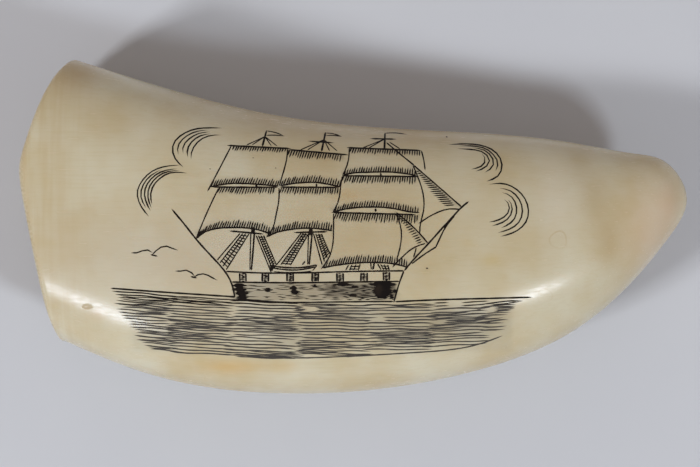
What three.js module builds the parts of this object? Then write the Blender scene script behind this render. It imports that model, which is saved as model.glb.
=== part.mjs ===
// A sperm whale's tooth, polished for scrimshaw, lying on its side.
// Millimetres, +Z up. The root is at -X, the tip at +X and the hollow of the curve faces +Y.
// The origin is the middle of its footprint, on the surface it lies on.
import * as THREE from "three";

// Overall sizes
const toothLength = 140;
const planWidth = 69.8; // across the bend, as seen from above
const thickness = 41;

// Root end: a rim that stands out in a blunt point and falls back to both sides
const rimCrown = 0.12; // where the rim stands out furthest, as a share from centre line to upper edge
const rimCrownSoftness = 0.12;
const rimSlopeUpper = 8.8; // how far the rim falls back from its crown to the upper edge
const rimSlopeLower = 6;
const rimCornerUpper = 2.6; // extra rounding where the rim meets the edges
const rimCornerLower = 1.4;
const rimPowerUpper = 6; // a higher power keeps that rounding nearer the edge
const rimPowerLower = 9;
const rimLean = 2; // how far the rim falls back from its lowest point to its highest

// Lip and pulp cavity
const rimWall = 6.5;
const lipBulge = 1.8;
const lipSquareness = 2.6; // 2 is a half ellipse, more is flatter
const pulpDepth = 48;
const pulpTaper = 0.82; // below 1 keeps the hollow wide for longer

// The small flat that the tooth lies on
const restCut = 0.5;

// Facets
const columns = 72;
const outerRows = 42;
const lipRows = 6;
const pulpRows = 12;

// The form, by stations from tip to root. A station's first value is its place, and the
// distance from the tip is toothLength times its square, which makes the tip round.
// Upper and lower are the plan outline in shares of planWidth, top and bottom the side
// outline in shares of thickness, and squareness the exponent of the oval section.
const stations = [
  { place: 0, upper: 0.08, lower: 0.08, top: 0.524, bottom: 0.524, squareness: 2.0 },
  { place: 0.1, upper: 0.146, lower: 0.017, top: 0.63, bottom: 0.418, squareness: 2.02 },
  { place: 0.2, upper: 0.203, lower: -0.068, top: 0.718, bottom: 0.322, squareness: 2.05 },
  { place: 0.3, upper: 0.2225, lower: -0.184, top: 0.79, bottom: 0.232, squareness: 2.1 },
  { place: 0.42, upper: 0.2535, lower: -0.3225, top: 0.866, bottom: 0.14, squareness: 2.15 },
  { place: 0.55, upper: 0.28, lower: -0.4265, top: 0.931, bottom: 0.055, squareness: 2.2 },
  { place: 0.68, upper: 0.298, lower: -0.489, top: 0.975, bottom: 0.008, squareness: 2.25 },
  { place: 0.8, upper: 0.344, lower: -0.498, top: 1.0, bottom: 0.002, squareness: 2.3 },
  { place: 0.9, upper: 0.434, lower: -0.4385, top: 0.995, bottom: 0.02, squareness: 2.4 },
  { place: 1, upper: 0.556, lower: -0.277, top: 0.95, bottom: 0.065, squareness: 2.5 },
];

// A natural cubic spline through one measure of the stations
function stationCurve(measure) {
  const places = stations.map((s) => s.place);
  const values = stations.map((s) => s[measure]);
  const last = places.length - 1;
  const bend = new Array(last + 1).fill(0);
  const pull = new Array(last + 1).fill(0);
  for (let i = 1; i < last; i++) {
    const before = places[i] - places[i - 1];
    const after = places[i + 1] - places[i];
    const share = before / (before + after);
    const weight = share * bend[i - 1] + 2;
    const turn = (values[i + 1] - values[i]) / after - (values[i] - values[i - 1]) / before;
    bend[i] = (share - 1) / weight;
    pull[i] = ((6 * turn) / (before + after) - share * pull[i - 1]) / weight;
  }
  const curvature = new Array(last + 1).fill(0);
  for (let i = last - 1; i > 0; i--) curvature[i] = bend[i] * curvature[i + 1] + pull[i];
  return (place) => {
    let i = 0;
    while (i < last - 1 && place > places[i + 1]) i++;
    const step = places[i + 1] - places[i];
    const a = (places[i + 1] - place) / step;
    const b = 1 - a;
    const cubic = (a ** 3 - a) * curvature[i] + (b ** 3 - b) * curvature[i + 1];
    return a * values[i] + b * values[i + 1] + (cubic * step * step) / 6;
  };
}

const upperShare = stationCurve("upper");
const lowerShare = stationCurve("lower");
const topShare = stationCurve("top");
const bottomShare = stationCurve("bottom");
const squarenessAt = stationCurve("squareness");

// The oval section at a distance x along the tooth
function sectionAt(x) {
  const place = Math.sqrt(Math.max(0, 0.5 - x / toothLength));
  const upper = planWidth * upperShare(place);
  const lower = planWidth * lowerShare(place);
  const top = thickness * topShare(place);
  const bottom = thickness * bottomShare(place);
  return {
    centreY: (upper + lower) / 2,
    centreZ: (top + bottom) / 2,
    halfWidth: (upper - lower) / 2,
    halfHeight: (top - bottom) / 2,
    squareness: squarenessAt(place),
  };
}

// Cosine and sine rounded off to a squarer oval
function squareOval(angle, squareness) {
  const soften = (value) => Math.sign(value) * Math.abs(value) ** (2 / squareness);
  return { across: soften(Math.cos(angle)), up: soften(Math.sin(angle)) };
}

// How far the rim is set back from the tooth's root end, for a place across the section
function rimSetback(across) {
  const offset = across - rimCrown;
  const slope = offset > 0 ? rimSlopeUpper : rimSlopeLower;
  const corner =
    across > 0
      ? rimCornerUpper * across ** rimPowerUpper
      : rimCornerLower * Math.abs(across) ** rimPowerLower;
  return slope * (Math.hypot(offset, rimCrownSoftness) - rimCrownSoftness) + corner;
}

// Where the smooth outer surface ends and the lip begins
function rimX(angle) {
  const { across, up } = squareOval(angle, squarenessAt(1));
  const lean = (rimLean * (1 + up)) / 2;
  return -toothLength / 2 + lipBulge + rimSetback(across) + lean;
}

function surfacePoint(x, angle) {
  const section = sectionAt(x);
  const oval = squareOval(angle, section.squareness);
  const y = section.centreY + section.halfWidth * oval.across;
  const z = section.centreZ + section.halfHeight * oval.up;
  return new THREE.Vector3(x, y, z);
}

// The outer surface: share 0 is the tip and 1 the rim
function outerPoint(share, angle) {
  const rimPlace = Math.sqrt(0.5 - rimX(angle) / toothLength);
  return surfacePoint(toothLength * (0.5 - (rimPlace * share) ** 2), angle);
}

// The pulp cavity: share 0 is its mouth and 1 its apex
function pulpPoint(share, angle) {
  const mouthX = rimX(angle);
  const apexX = -toothLength / 2 + pulpDepth;
  const x = mouthX + (apexX - mouthX) * share;
  const section = sectionAt(x);
  const mouth = sectionAt(mouthX);
  const oval = squareOval(angle, mouth.squareness);
  const narrowing = (1 - share) ** pulpTaper;
  const y = section.centreY + (mouth.halfWidth - rimWall) * narrowing * oval.across;
  const z = section.centreZ + (mouth.halfHeight - rimWall) * narrowing * oval.up;
  return new THREE.Vector3(x, y, z);
}

// The rounded lip from the outer surface, at share 0, to the cavity's mouth, at share 1
function lipPoint(share, angle) {
  const outer = outerPoint(1, angle);
  const inner = pulpPoint(0, angle);
  const oval = squareOval(Math.PI * share, lipSquareness);
  const point = outer.clone().add(inner).multiplyScalar(0.5);
  point.addScaledVector(outer.clone().sub(inner), oval.across / 2);
  point.x -= lipBulge * oval.up;
  return point;
}

// The underside is planed off to the small flat, which then lies at height 0
function restOnFlat(point) {
  return point.setZ(Math.max(point.z, restCut) - restCut);
}

// Rings of points from the tip, over the lip and down into the cavity
function toothRings() {
  const rings = [];
  const addRing = (pointAt, share) => {
    const ring = [];
    for (let column = 0; column < columns; column++) {
      ring.push(restOnFlat(pointAt(share, (2 * Math.PI * column) / columns)));
    }
    rings.push(ring);
  };
  for (let row = 1; row <= outerRows; row++) addRing(outerPoint, row / outerRows);
  for (let row = 1; row < lipRows; row++) addRing(lipPoint, row / lipRows);
  for (let row = 0; row < pulpRows; row++) addRing(pulpPoint, row / pulpRows);
  return rings;
}

function toothGeometry() {
  const rings = toothRings();
  const tip = restOnFlat(outerPoint(0, 0));
  const apex = restOnFlat(pulpPoint(1, 0));
  const points = [tip, ...rings.flat(), apex];
  const apexIndex = points.length - 1;
  const at = (ring, column) => 1 + ring * columns + (column % columns);
  const faces = [];
  for (let column = 0; column < columns; column++) {
    faces.push(0, at(0, column), at(0, column + 1));
    for (let ring = 0; ring + 1 < rings.length; ring++) {
      faces.push(at(ring, column), at(ring + 1, column), at(ring + 1, column + 1));
      faces.push(at(ring, column), at(ring + 1, column + 1), at(ring, column + 1));
    }
    faces.push(at(rings.length - 1, column), apexIndex, at(rings.length - 1, column + 1));
  }
  const geometry = new THREE.BufferGeometry().setFromPoints(points);
  geometry.setIndex(faces);
  geometry.computeVertexNormals();
  return geometry;
}

const ivory = new THREE.MeshStandardMaterial({ color: 0xdccba6, roughness: 0.3, metalness: 0 });

const tooth = new THREE.Mesh(toothGeometry(), ivory);
tooth.name = "whale_tooth";

const scrimshawTooth = new THREE.Group();
scrimshawTooth.add(tooth);

export default scrimshawTooth;
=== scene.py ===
import math
import bpy
import numpy as np
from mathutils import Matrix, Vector
from mathutils.geometry import delaunay_2d_cdt


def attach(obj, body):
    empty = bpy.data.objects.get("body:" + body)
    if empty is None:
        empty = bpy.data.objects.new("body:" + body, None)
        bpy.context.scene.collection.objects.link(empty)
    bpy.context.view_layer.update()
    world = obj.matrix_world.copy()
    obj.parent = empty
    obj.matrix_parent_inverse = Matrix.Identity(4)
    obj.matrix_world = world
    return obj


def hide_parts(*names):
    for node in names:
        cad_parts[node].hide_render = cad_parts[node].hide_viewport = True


# A sperm whale's tooth lying on its side, polished and engraved with a ship under sail.
# Lengths are in millimetres and become metres when a mesh is made. The picture is laid out as
# it is seen from above: x runs from the root to the tip and y towards the top of the picture.
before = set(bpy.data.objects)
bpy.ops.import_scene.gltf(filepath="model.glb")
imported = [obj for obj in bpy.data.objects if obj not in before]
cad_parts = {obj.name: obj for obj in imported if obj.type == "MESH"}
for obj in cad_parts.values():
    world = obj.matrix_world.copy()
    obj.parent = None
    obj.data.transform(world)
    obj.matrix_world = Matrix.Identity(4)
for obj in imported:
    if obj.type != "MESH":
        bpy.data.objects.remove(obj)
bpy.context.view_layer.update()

mm = 0.001
chance = np.random.default_rng(11)


# The tooth's own form, with the same measures as its solid

tooth = {
    "length": 140.0,
    "planWidth": 69.8,
    "thickness": 41.0,
    "restCut": 0.5,         # planed off below, so that it lies still
    "rimCrown": 0.12,
    "rimSoftness": 0.12,
    "rimSlope": (6.0, 8.8),     # lower side, upper side
    "rimCorner": (1.4, 2.6),
    "rimPower": (9, 6),
    "rimLean": 2.0,         # how far the rim falls back from its lowest point to its highest
    "rimWall": 6.5,
    "lipBulge": 1.8,
    "lipSquareness": 2.6,
    "pulpDepth": 48.0,
    "pulpTaper": 0.82,
    "pulpPits": 0.35,       # roughness of the cavity wall
    "columns": 240,
    "outerRows": 150,
    "lipRows": 10,
    "pulpRows": 40,
    # place, upper, lower, top, bottom, squareness
    "stations": (
        (0, 0.08, 0.08, 0.524, 0.524, 2.0),
        (0.1, 0.146, 0.017, 0.63, 0.418, 2.02),
        (0.2, 0.203, -0.068, 0.718, 0.322, 2.05),
        (0.3, 0.2225, -0.184, 0.79, 0.232, 2.1),
        (0.42, 0.2535, -0.3225, 0.866, 0.14, 2.15),
        (0.55, 0.28, -0.4265, 0.931, 0.055, 2.2),
        (0.68, 0.298, -0.489, 0.975, 0.008, 2.25),
        (0.8, 0.344, -0.498, 1.0, 0.002, 2.3),
        (0.9, 0.434, -0.4385, 0.995, 0.02, 2.4),
        (1, 0.556, -0.277, 0.95, 0.065, 2.5),
    ),
    # rows and columns of the outer grid that the engraver's work takes the place of
    "window": (54, 147, 8, 112),
}


def naturalSpline(at, values):
    # cubic pieces whose slopes and curvatures agree where they meet, straight at both ends
    count = len(at)
    gap = np.diff(at)
    matrix = np.eye(count)
    pull = np.zeros(count)
    inner = np.arange(1, count - 1)
    matrix[inner, inner - 1] = gap[:-1]
    matrix[inner, inner] = 2 * (gap[:-1] + gap[1:])
    matrix[inner, inner + 1] = gap[1:]
    pull[1:-1] = 6 * np.diff(np.diff(values) / gap)
    curvature = np.linalg.solve(matrix, pull)

    def curve(place):
        i = np.clip(np.searchsorted(at, place) - 1, 0, count - 2)
        b = (place - at[i]) / gap[i]
        a = 1 - b
        bow = (a ** 3 - a) * curvature[i] + (b ** 3 - b) * curvature[i + 1]
        return a * values[i] + b * values[i + 1] + bow * gap[i] ** 2 / 6
    return curve


stations = np.array(tooth["stations"], float)
measures = [naturalSpline(stations[:, 0], stations[:, i]) for i in range(1, 6)]


def sectionAt(x):
    # centre and half sizes of the oval section, its place being the root of the share from the tip
    place = np.sqrt(np.maximum(0, 0.5 - x / tooth["length"]))
    upper, lower, top, bottom, squareness = (measure(place) for measure in measures)
    upper, lower = upper * tooth["planWidth"], lower * tooth["planWidth"]
    top, bottom = top * tooth["thickness"], bottom * tooth["thickness"]
    return (upper + lower) / 2, (top + bottom) / 2, (upper - lower) / 2, (top - bottom) / 2, squareness


def squareOval(angle, squareness):
    # cosine and sine, each raised to 2 over the squareness with its sign kept
    across, up = np.cos(angle), np.sin(angle)
    power = 2 / squareness
    return np.sign(across) * np.abs(across) ** power, np.sign(up) * np.abs(up) ** power


def rimX(angle):
    # the rim falls back from its crown by a softened slope, more near the edges, and leans back
    across, up = squareOval(angle, stations[-1, 5])
    side = (across > tooth["rimCrown"]).astype(int)
    edge = (across > 0).astype(int)
    fall = np.hypot(across - tooth["rimCrown"], tooth["rimSoftness"]) - tooth["rimSoftness"]
    corner = np.take(tooth["rimCorner"], edge) * np.abs(across) ** np.take(tooth["rimPower"], edge)
    slope = np.take(tooth["rimSlope"], side)
    lean = tooth["rimLean"] * (1 + up) / 2
    return tooth["lipBulge"] - tooth["length"] / 2 + slope * fall + corner + lean


def outerPoint(share, angle):
    # share 0 is the tip and 1 the rim, and the steps grow with the distance from the tip
    rimPlace = np.sqrt(0.5 - rimX(angle) / tooth["length"])
    x = tooth["length"] * (0.5 - (rimPlace * share) ** 2)
    centreY, centreZ, halfWidth, halfHeight, squareness = sectionAt(x)
    across, up = squareOval(angle, squareness)
    return np.stack([x, centreY + halfWidth * across, centreZ + halfHeight * up], -1)


def pulpPoint(share, angle):
    # the cavity narrows from its mouth, share 0, to its apex, and its wall is unevenly pitted
    mouthX = rimX(angle)
    x = mouthX + (tooth["pulpDepth"] - tooth["length"] / 2 - mouthX) * share
    centreY, centreZ = sectionAt(x)[:2]
    mouth = sectionAt(mouthX)
    across, up = squareOval(angle, mouth[4])
    pits = np.sin(23 * angle + 9 * share) * np.sin(31 * share + 5 * np.sin(3 * angle))
    wall = tooth["rimWall"] + tooth["pulpPits"] * pits * np.minimum(1, 8 * share)
    narrowing = (1 - share) ** tooth["pulpTaper"]
    y = centreY + (mouth[2] - wall) * narrowing * across
    z = centreZ + (mouth[3] - wall) * narrowing * up
    return np.stack([x, y, z], -1)


def lipPoint(share, angle):
    # half a squared oval between the outer rim and the cavity's mouth, bulging towards the root
    outer, inner = outerPoint(1.0, angle), pulpPoint(0.0, angle)
    across, up = squareOval(np.pi * share, tooth["lipSquareness"])
    point = (outer + inner) / 2 + (outer - inner) * across[..., None] / 2
    point[..., 0] -= tooth["lipBulge"] * up
    return point


def topHeight(x, y):
    # the upper half of each section, solved for the height
    centreY, centreZ, halfWidth, halfHeight, squareness = sectionAt(x)
    across = np.clip(np.abs(y - centreY) / halfWidth, 0, 1)
    return centreZ + halfHeight * (1 - across ** squareness) ** (1 / squareness)


def outerNormal(point):
    # the gradient of |across|^n + |up|^n, which is 1 all over the outer surface
    def level(x):
        centreY, centreZ, halfWidth, halfHeight, squareness = sectionAt(x)
        across = (point[:, 1] - centreY) / halfWidth
        up = (point[:, 2] - centreZ) / halfHeight
        return across, up, halfWidth, halfHeight, squareness

    x = np.minimum(point[:, 0], tooth["length"] / 2 - 0.05)
    across, up, halfWidth, halfHeight, n = level(x)
    step = 0.02
    fore, aft = level(x + step), level(x - step)
    slopes = [np.abs(s[0]) ** s[4] + np.abs(s[1]) ** s[4] for s in (fore, aft)]
    normal = np.stack([
        (slopes[0] - slopes[1]) / (2 * step),
        n * np.sign(across) * np.abs(across) ** (n - 1) / halfWidth,
        n * np.sign(up) * np.abs(up) ** (n - 1) / halfHeight,
    ], -1)
    return normal / np.linalg.norm(normal, axis=1, keepdims=True)


# The engraver's hand: every line is a stroke, a smooth path with a width that tapers at its ends

graver = {
    "fine": 0.23,
    "usual": 0.29,
    "bold": 0.37,
    "wallSlope": 0.75,      # a groove's depth for each millimetre of its half width
    "inkLevel": 0.3,        # how far below the surface the ink lies, as a share of the depth
    "inkFloor": 0.97,       # how far down the ink reaches, as a share of the depth
    "step": 1.3,
    "taper": 1.1,
    "unsteadiness": 0.12,   # by what share a stroke swells and thins along its length
    "fringeSpacing": 0.5,
    "fringeScatter": 0.025,     # how unevenly a fringe's strokes lean, in radians
}
strokes = []


def lengthsAlong(path):
    # how far each point of a path is from its start, along the path
    return np.concatenate([[0], np.cumsum(np.linalg.norm(np.diff(path, axis=0), axis=1))])


def spaced(points, count):
    # points spread evenly along a spline through the given ones
    points = np.asarray(points, float)
    along = lengthsAlong(points)
    spots = np.linspace(0, along[-1], count)
    if len(points) == 2:
        return np.stack([np.interp(spots, along, points[:, i]) for i in (0, 1)], -1)
    return np.stack([naturalSpline(along, points[:, i])(spots) for i in (0, 1)], -1)


def smoothPath(points, step):
    # a spline through the points, cut into equal steps of about the given length
    length = lengthsAlong(np.asarray(points, float))[-1]
    return spaced(points, max(2 if len(points) == 2 else 4, int(np.ceil(length / step)) + 1))


def scribe(points, width=graver["usual"], start=0.35, end=1.0):
    # a stroke whose width grows from nothing over its start and shrinks again over its end, the
    # tapers being shares of the usual one, small for a blunt end
    path = smoothPath(points, graver["step"])
    along = lengthsAlong(path)
    total = along[-1]
    ends = [min(graver["taper"] * share, 0.4 * total) for share in (start, end)]
    spots = np.union1d(np.round(along, 4), [round(ends[0], 4), round(total - ends[1], 4)])
    spots = spots[np.concatenate([[True], np.diff(spots) > 0.12])]
    spots[-1] = total
    path = np.stack([np.interp(spots, along, path[:, i]) for i in (0, 1)], -1)
    fade = np.minimum(1, np.minimum(spots / ends[0], (total - spots) / ends[1]))
    wobble = 1 + graver["unsteadiness"] * np.sin(spots * 1.7 + chance.uniform(0, 6.3))
    strokes.append((path, width / 2 * np.clip(fade, 0, 1) ** 0.7 * wobble))


def between(start, end, share):
    # the point that lies the given share of the way from start to end
    return np.asarray(start, float) + (np.asarray(end, float) - start) * share


def bowed(start, end, rise, count=4):
    # a shallow arc from start to end, standing off the chord by rise to its left
    start, end = np.asarray(start, float), np.asarray(end, float)
    share = np.linspace(0, 1, count)[:, None]
    chord = end - start
    left = np.array([-chord[1], chord[0]]) / np.linalg.norm(chord)
    return start + chord * share + left * rise * 4 * share * (1 - share)


def fringe(path, length, lean):
    # short strokes that stand on a path, or hang from it where the length is negative, and lean
    # less and less from its left end to its right end, as the engraver shades a sail's edge
    spacing = graver["fringeSpacing"]
    path = smoothPath(path, 0.5)
    along = lengthsAlong(path)
    spots = np.arange(spacing * 0.7, along[-1] - spacing * 0.4, spacing)
    spots = spots + chance.uniform(-0.1, 0.1, len(spots)) * spacing
    feet = np.stack([np.interp(spots, along, path[:, i]) for i in (0, 1)], -1)
    reach = abs(length) * chance.uniform(0.9, 1.3, len(spots))
    scatter = chance.normal(0, graver["fringeScatter"], len(spots))
    tilts = np.interp(spots, along[[0, -1]], lean) + scatter
    upwards = math.copysign(1, length)
    for foot, far, tilt in zip(feet, reach, tilts):
        tip = foot + far * np.array([upwards * math.sin(tilt), upwards * math.cos(tilt)])
        scribe([foot, tip], graver["usual"] * chance.uniform(0.88, 1.02), 0.15, 0.45)


# The ship under full sail

sails = (
    # fringes are the lengths of the strokes from head and foot, lean their slopes in radians at the
    # left and right end
    {"yard": ((-25.6, 16.5), (-12.4, 15.9)), "head": ((-24.4, 16.4), (-13.3, 16.0)),
     "foot": ((-29.0, 7.9), (-26.8, 8.4), (-24.0, 8.7), (-20.6, 8.6), (-17.7, 8.4), (-14.9, 8.1)),
     "edges": (((-24.7, 16.4), (-27.0, 11.7), (-29.4, 7.0)),
               ((-13.2, 15.9), (-13.4, 13.7), (-14.1, 10.8), (-14.9, 8.0))),
     "fringes": (1.0, 1.3), "lean": (0.45, 0.39)},
    {"yard": ((-28.6, 7.95), (-15.0, 7.9)), "head": ((-27.2, 7.9), (-15.2, 7.9)),
     "foot": ((-31.7, -2.6), (-30.1, -1.3), (-28.2, -0.6), (-25.3, -0.3), (-22.5, -0.3),
              (-19.6, -0.6), (-16.5, -1.6)),
     "edges": (((-27.1, 7.8), (-29.6, 2.4), (-31.7, -2.7)),
               ((-14.9, 7.9), (-14.9, 5.4), (-15.5, 2.1), (-16.2, -0.6), (-17.5, -2.3))),
     "fringes": (1.35, 1.45), "lean": (0.51, 0.21)},
    {"yard": ((-13.2, 15.7), (-0.6, 14.6)), "head": ((-13.1, 15.65), (-1.7, 14.75)),
     "foot": ((-14.8, 8.15), (-11.9, 8.7), (-9.5, 8.9), (-7.2, 8.9), (-4.7, 8.5), (-2.4, 8.0)),
     "edges": (), "fringes": (1.4, 1.4), "lean": (0.39, 0.25)},
    {"yard": ((-14.8, 7.95), (-2.5, 7.9)), "head": ((-14.7, 7.9), (-2.6, 7.85)),
     "foot": ((-17.4, -2.2), (-15.7, -1.4), (-12.8, -0.7), (-9.5, -0.4), (-6.1, -0.6), (-3.9, -0.95)),
     "edges": (), "fringes": (1.4, 1.45), "lean": (0.35, 0.15)},
    {"yard": ((-1.2, 16.15), (14.3, 15.6)), "head": ((-0.5, 16.1), (14.1, 15.6)),
     "foot": ((-2.0, 10.35), (-0.3, 10.8), (2.6, 11.0), (5.8, 11.1), (8.9, 11.0), (13.2, 10.35)),
     "edges": (((-0.6, 16.1), (-0.7, 14.2), (-1.3, 11.8), (-2.1, 10.2)),
               ((14.2, 15.6), (14.6, 13.9), (14.9, 11.4))),
     "fringes": (1.1, 1.15), "lean": (0.37, 0.04)},
    {"yard": ((-2.1, 10.3), (13.7, 10.15)), "head": ((-2.0, 10.3), (13.5, 10.15)),
     "foot": ((-3.9, 2.85), (-1.8, 3.4), (1.1, 3.8), (4.5, 3.9), (8.4, 3.6), (11.5, 2.95), (13.8, 2.75)),
     "edges": (((-2.0, 10.3), (-2.4, 7.9), (-2.8, 5.2), (-4.0, 2.7)),),
     "fringes": (1.4, 1.25), "lean": (0.37, 0.09)},
    {"yard": ((-4.3, 2.8), (13.0, 2.35)), "head": ((-3.6, 2.75), (13.6, 2.3)),
     "foot": ((-6.2, -8.5), (-3.7, -8.0), (-0.8, -7.6), (3.0, -7.35), (6.7, -7.45), (8.8, -7.7),
              (11.3, -8.4)),
     "edges": (((-3.8, 2.7), (-3.8, -0.4), (-3.9, -3.2), (-4.7, -6.3), (-6.4, -8.8)),),
     "fringes": (1.6, 1.5), "lean": (0.39, 0.07)},
)
slings = ((-19.5, 8.2), (-7.3, 8.35), (5.8, 10.6), (4.7, 3.3))     # where a yard hangs on its mast


def setSail(sail):
    # a bold yard and foot, plain side edges, and a fringe along the head and the foot
    scribe(sail["yard"], graver["bold"] * 0.95, 0.7, 0.9)
    scribe(sail["foot"], graver["bold"] * 0.9, 0.5, 0.5)
    for edge in sail["edges"]:
        scribe(edge, graver["usual"], 0.3, 0.5)
    fromHead, fromFoot = sail["fringes"]
    fringe(sail["head"], -fromHead, sail["lean"])
    fringe(sail["foot"], fromFoot, sail["lean"])


mastheads = (
    # stays are where the lines from the masthead end, and drop is how far down the pennant's lower
    # edge starts, 0 for a pennant of one line
    {"top": (-17.6, 19.8), "foot": (-18.4, 16.3), "cross": None,
     "stays": (-21.7, -20.6, -16.5, -15.3), "pennant": (-13.9, 18.5), "drop": 1.0},
    {"top": (-5.5, 19.5), "foot": (-6.3, 15.3), "cross": ((-9.2, 17.5), (-3.7, 17.15)),
     "stays": (-10.8, -9.3, -4.6, -3.0), "pennant": (-2.1, 18.5), "drop": 0.5},
    {"top": (6.8, 19.5), "foot": (6.6, 15.8), "cross": ((3.6, 18.1), (9.2, 18.0)),
     "stays": (2.0, 3.3), "pennant": (11.4, 19.05), "drop": 0.0},
)


def rigMasthead(mast):
    top, foot = mast["top"], mast["foot"]
    scribe([top, foot], graver["bold"] * 1.1, 0.4, 0.3)
    if mast["cross"]:
        scribe(mast["cross"], graver["usual"] * 1.1, 1.0, 1.0)
    for x in mast["stays"]:
        high = between(top, foot, 0.4)
        scribe([high, (x, foot[1] + (0.25 if x < foot[0] else 0.05))], graver["fine"], 0.3, 0.4)
    pennant = mast["pennant"]
    scribe(bowed(between(top, foot, 0.05), pennant, 0.2, 3), graver["fine"], 0.3, 1.2)
    if mast["drop"]:
        low = between(top, foot, 0.05 + 0.28 * mast["drop"])
        scribe(bowed(low, pennant, 0.15, 3), graver["fine"], 0.6, 0.8)


shroudLines = {
    "shares": (0, 0.3, 0.64, 1),    # where the lines stand between the outermost two
    "ratlineSpacing": 0.56,
}
lowerRigs = (
    # the mast, its yard, and for each set of shrouds the heads and feet of its outermost lines
    {"mast": ((-20.2, -1.4), (-20.6, -9.0)), "cap": ((-20.1, -0.1), (-20.1, -1.7)),
     "yard": ((-25.0, -0.95), (-17.8, -1.6)),
     "shrouds": (((-22.7, -1.4), (-27.4, -6.9), (-20.9, -1.5), (-25.6, -8.9)),
                 ((-19.5, -1.8), (-16.4, -9.4), (-18.0, -1.8), (-15.3, -8.0)))},
    {"mast": ((-8.5, -1.2), (-8.9, -7.9)), "cap": ((-8.4, -0.4), (-8.4, -2.0)),
     "yard": ((-12.0, -1.3), (-4.9, -1.1)),
     "shrouds": (((-10.3, -1.3), (-15.3, -7.8), (-8.8, -1.4), (-12.6, -8.0)),
                 ((-7.9, -1.4), (-6.1, -7.9), (-6.3, -1.5), (-4.5, -5.7)))},
    {"mast": ((4.1, -7.3), (4.0, -8.9)), "cap": None, "yard": None,
     "shrouds": (((-0.7, -7.8), (-1.4, -9.0), (1.6, -7.6), (1.2, -9.0)),
                 ((5.1, -7.6), (5.9, -8.9), (7.2, -7.8), (7.5, -9.0)))},
)


def rigLowerMast(rig):
    # a mast drawn as its two edges, its cap and yard, and fans of shrouds crossed by ratlines
    head, foot = rig["mast"]
    for side in (-0.36, 0.36):
        waist = between(head, foot, 0.5) + np.array([side * 0.75, 0])
        scribe([(head[0] + side, head[1]), waist, (foot[0] + side * 0.4, foot[1])],
               graver["bold"] * (1.0 if side > 0 else 0.7), 0.2, 0.3)
    if rig["cap"]:
        for side in (-0.26, 0.0, 0.26):
            scribe(np.add(rig["cap"], (side, 0)), graver["usual"], 0.2, 0.3)
    if rig["yard"]:
        scribe(rig["yard"], graver["bold"], 0.8, 0.8)
    for outerHead, outerFoot, innerHead, innerFoot in rig["shrouds"]:
        for share in shroudLines["shares"]:
            scribe([between(outerHead, innerHead, share), between(outerFoot, innerFoot, share)],
                   graver["usual"] * 0.95, 0.2, 0.2)
        length = np.linalg.norm(np.subtract(outerHead, outerFoot))
        for share in np.arange(0.5, length - 0.2, shroudLines["ratlineSpacing"]) / length:
            outer = between(outerHead, outerFoot, share)
            inner = between(innerHead, innerFoot, share)
            slant = (0, chance.uniform(-0.1, 0.1))
            scribe([between(outer, inner, 0.26), inner + slant], graver["fine"] * 1.15, 0.2, 0.2)


jibs = (
    # shade is where the shading starts and ends along the luff and how far it reaches, and slant
    # is the way its strokes point
    {"luff": ((12.5, 12.55), (22.3, 3.9)),
     "foot": ((13.5, 0.5), (14.9, 1.5), (17.3, 2.8), (19.6, 3.5), (22.1, 3.4)),
     "leech": ((12.4, 12.5), (13.3, 10.3), (14.2, 7.6), (14.6, 5.1), (14.4, 2.7), (13.8, 0.3),
               (13.7, -1.6)),
     "shade": (0.14, 0.97, 2.9), "slant": (-1.0, -0.06)},
    {"luff": ((8.9, 2.8), (13.6, -1.4), (15.4, -3.5)),
     "foot": ((14.9, -3.5), (13.0, -4.1), (11.4, -5.1), (10.1, -6.3), (8.6, -7.8), (8.1, -8.4)),
     "leech": ((8.9, 2.6), (9.3, 1.6), (9.7, 0.4), (10.0, -1.7), (9.8, -3.7), (9.4, -5.5), (8.9, -7.0)),
     "shade": (0.12, 0.95, 1.7), "slant": (-0.93, -0.36)},
)


def setJib(jib):
    # three edges, and strokes that reach back from the luff, longest two thirds of the way down
    scribe(jib["luff"], graver["bold"] * 0.85, 0.3, 0.3)
    scribe(jib["foot"], graver["usual"], 0.3, 0.4)
    scribe(jib["leech"], graver["usual"], 0.3, 0.5)
    first, last, reach = jib["shade"]
    luff = smoothPath(jib["luff"], 0.4)
    # a stroke for about every one and a half steps of the luff
    for spot in np.arange(first * len(luff), last * len(luff) - 1, 1.55):
        share = spot / len(luff)
        root = np.array([np.interp(spot, np.arange(len(luff)), luff[:, i]) for i in (0, 1)])
        root = root + np.array([-0.15 - 1.3 * share ** 6, -0.05])
        growth = min(1, 0.27 + 1.3 * (share - first))
        far = reach * growth * chance.uniform(0.9, 1.1) * (1 - 0.4 * share ** 6)
        scribe([root + far * np.array(jib["slant"]), root], graver["usual"] * 0.95, 0.7, 0.3)


spars = {
    "stern": ((-36.7, 3.6), (-34.1, 0.5), (-31.4, -2.9), (-27.2, -7.5), (-25.7, -9.3), (-24.5, -11.5),
              (-23.8, -14.5)),
    "jibStay": ((7.0, 17.3), (9.5, 15.1), (12.7, 12.45)),
    "jibHalyard": ((7.6, 17.4), (10.0, 15.8)),
    "bowsprit": ((10.5, -9.1), (11.8, -7.5), (15.4, -3.6), (19.1, 0.5), (20.6, 2.1), (22.3, 3.9),
                 (23.8, 5.1)),
    "underStay": ((12.0, -7.7), (14.5, -5.8), (17.2, -4.1)),
    "foreStay": ((16.9, -4.4), (18.0, -2.0), (19.2, 0.2), (20.8, 2.1)),
    "splice": ((18.6, -0.4), (20.9, 2.2)),
    "spur": ((13.0, -4.3), (12.7, -5.5), (12.4, -6.4)),
}


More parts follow.
